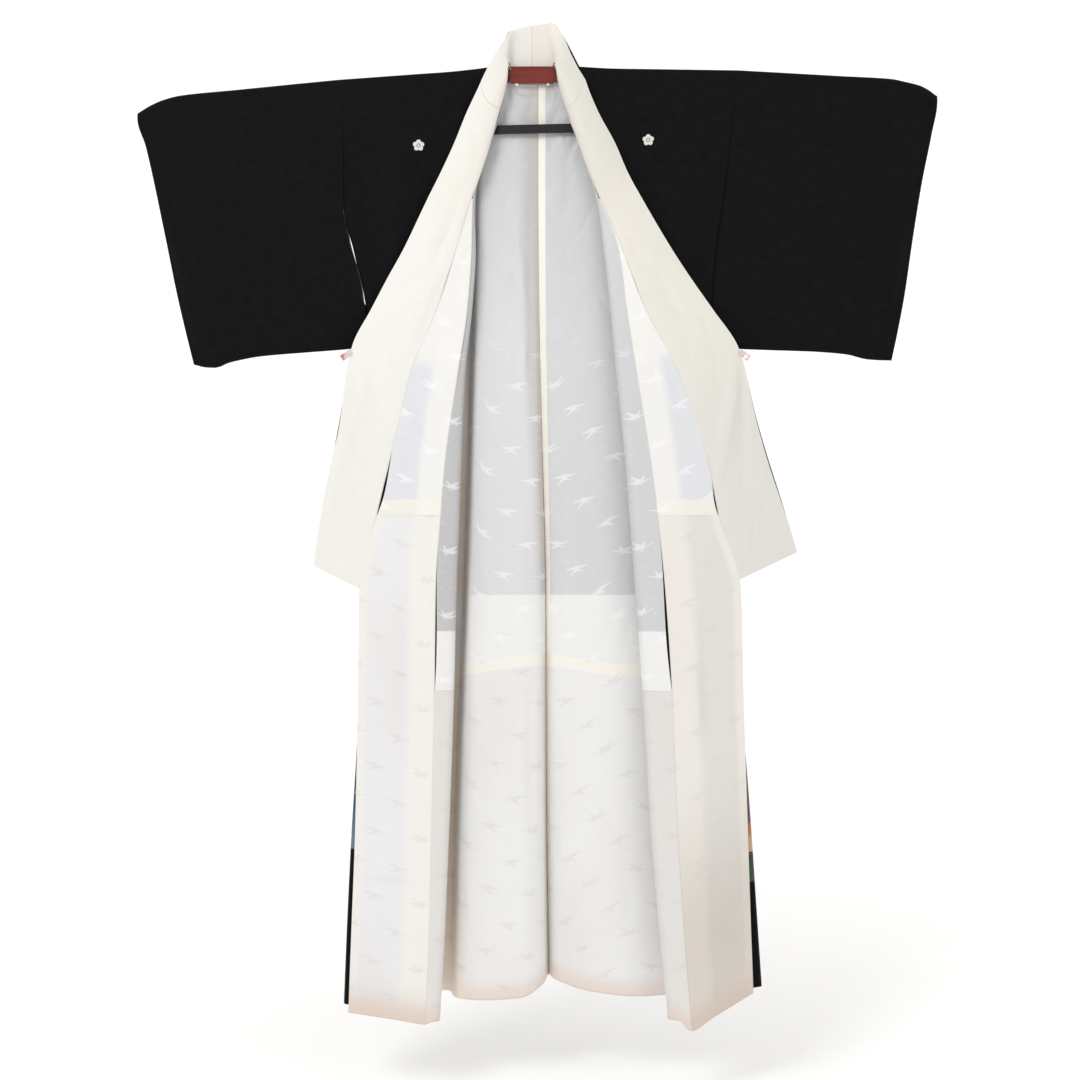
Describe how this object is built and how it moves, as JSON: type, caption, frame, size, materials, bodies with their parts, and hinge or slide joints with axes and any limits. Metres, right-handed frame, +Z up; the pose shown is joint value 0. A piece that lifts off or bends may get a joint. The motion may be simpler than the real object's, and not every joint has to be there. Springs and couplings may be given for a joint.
{
  "type": "kurotomesode kimono on a hanger",
  "caption": "Formal black kimono with a white figured lining on a plain rail hanger, its fronts folded back and clipped to the sleeves",
  "frame": {"origin": "middle of the flat top face of the hanger's centre block, where the hanger is held", "axes": "+X to the viewer's right along the hanger, -Y towards the open front, +Z up"},
  "size_m": [1.3414, 0.1479, 1.678],
  "materials": {
    "black_silk": "matte silk crepe",
    "upper_lining": "figured satin silk, seen over black",
    "hem_lining": "figured satin silk",
    "collar_silk": "figured satin silk",
    "sleeve_silk": "satin silk",
    "rail_lacquer": "red-brown, semi-gloss",
    "bar_plastic": "black, satin",
    "clip_plastic": "pink, glossy"
  },
  "bodies": {
    "root": {"back_left": "black_silk", "back_right": "black_silk", "front_left": "black_silk", "front_right": "black_silk", "overlap_left": "black_silk", "overlap_right": "black_silk", "collar_left": "black_silk", "collar_right": "black_silk", "sleeve_left": "black_silk", "sleeve_right": "black_silk", "back_lining_left": "upper_lining", "back_lining_right": "upper_lining", "front_lining_left": "upper_lining", "front_lining_right": "upper_lining", "overlap_lining_left": "upper_lining", "overlap_lining_right": "upper_lining", "back_hem_lining_left": "hem_lining", "back_hem_lining_right": "hem_lining", "front_hem_lining_left": "hem_lining", "front_hem_lining_right": "hem_lining", "overlap_hem_lining_left": "hem_lining", "overlap_hem_lining_right": "hem_lining", "collar_lining_left": "collar_silk", "collar_lining_right": "collar_silk", "sleeve_lining_left": "sleeve_silk", "sleeve_lining_right": "sleeve_silk", "rail_block": "rail_lacquer", "rail_arm_left": "rail_lacquer", "rail_arm_right": "rail_lacquer", "sash_bar": "bar_plastic", "clip_left": "clip_plastic", "clip_right": "clip_plastic"}
  },
  "joints": []
}
